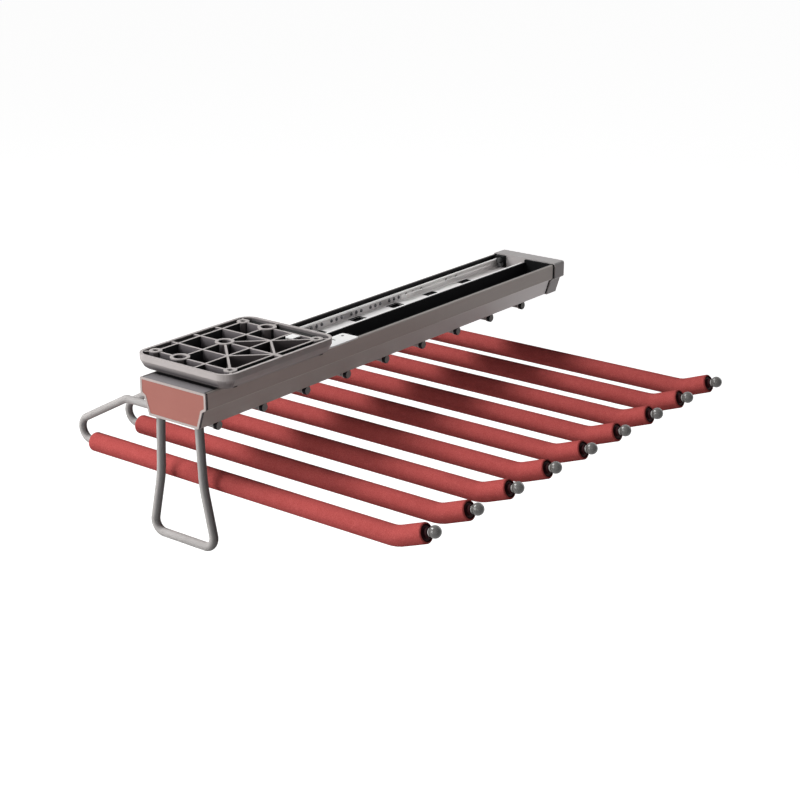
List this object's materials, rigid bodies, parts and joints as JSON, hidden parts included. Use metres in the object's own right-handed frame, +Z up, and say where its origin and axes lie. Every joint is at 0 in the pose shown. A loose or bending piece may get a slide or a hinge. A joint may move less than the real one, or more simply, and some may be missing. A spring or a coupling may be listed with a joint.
{
  "type": "pull out trouser rack",
  "caption": "Pull-out trouser rack with flocked bent-rod arms under a ball-slide channel, hung from a ribbed plate that screws under a shelf, with a wire pull handle.",
  "frame": {"origin": "centre of the four shelf screws, on the face of the mounting plate that meets the shelf", "axes": "X along the arms towards their open tips, Y to the back of the wardrobe, Z up into the shelf"},
  "size_m": [0.3558, 0.475, 0.1416],
  "materials": {
    "grey_plastic": "matte",
    "white_zinc": "satin",
    "zinc_steel": "satin",
    "rivet_steel": "satin",
    "ball_steel": "polished",
    "black_nylon": "matte",
    "taupe_aluminium": "satin",
    "light_grey_plastic": "satin",
    "rose_panel": "satin",
    "black_rubber": "matte",
    "buffer_rubber": "matte",
    "satin_rod": "satin",
    "dark_red_plastic": "matte",
    "red_flock": "flocked",
    "ball_plastic": "gloss"
  },
  "bodies": {
    "mount_side": {"mounting_plate": "grey_plastic", "slide_bracket": "white_zinc", "slide_inner_rail": "zinc_steel", "plate_rivets": "rivet_steel", "guide_shoe": "black_nylon"},
    "cage": {"ball_cage": "zinc_steel", "cage_balls": "ball_steel"},
    "rack": {"channel_housing": "taupe_aluminium", "slide_carrier": "black_nylon", "slide_outer_rail": "zinc_steel", "carrier_rivets": "rivet_steel", "front_cap": "light_grey_plastic", "front_panel": "rose_panel", "front_seal": "black_rubber", "rear_cap": "light_grey_plastic", "rear_seal": "black_rubber", "rear_stop": "black_nylon", "stop_buffers": "buffer_rubber", "pull_handle": "satin_rod", "arm_bar": "satin_rod", "bar_rivets": "rivet_steel", "stub_caps": "black_nylon", "tip_bushes": "dark_red_plastic", "arm_rod_1": "satin_rod", "arm_sleeve_1": "red_flock", "tip_ball_1": "ball_plastic", "arm_rod_2": "satin_rod", "arm_sleeve_2": "red_flock", "tip_ball_2": "ball_plastic", "arm_rod_3": "satin_rod", "arm_sleeve_3": "red_flock", "tip_ball_3": "ball_plastic", "arm_rod_4": "satin_rod", "arm_sleeve_4": "red_flock", "tip_ball_4": "ball_plastic", "arm_rod_5": "satin_rod", "arm_sleeve_5": "red_flock", "tip_ball_5": "ball_plastic", "arm_rod_6": "satin_rod", "arm_sleeve_6": "red_flock", "tip_ball_6": "ball_plastic", "arm_rod_7": "satin_rod", "arm_sleeve_7": "red_flock", "tip_ball_7": "ball_plastic", "arm_rod_8": "satin_rod", "arm_sleeve_8": "red_flock", "tip_ball_8": "ball_plastic", "arm_rod_9": "satin_rod", "arm_sleeve_9": "red_flock", "tip_ball_9": "ball_plastic"}
  },
  "joints": [
    {"name": "rack_slide", "type": "slide", "parent": "mount_side", "child": "rack", "axis": [0, -1, 0], "range_m": [0, 0.2838]},
    {"name": "cage_slide", "type": "slide", "parent": "mount_side", "child": "cage", "axis": [0, -1, 0], "range_m": [0, 0.1419]}
  ],
  "couplings": [
    {"joint": "cage_slide", "follows": "rack_slide", "ratio": 0.5}
  ]
}
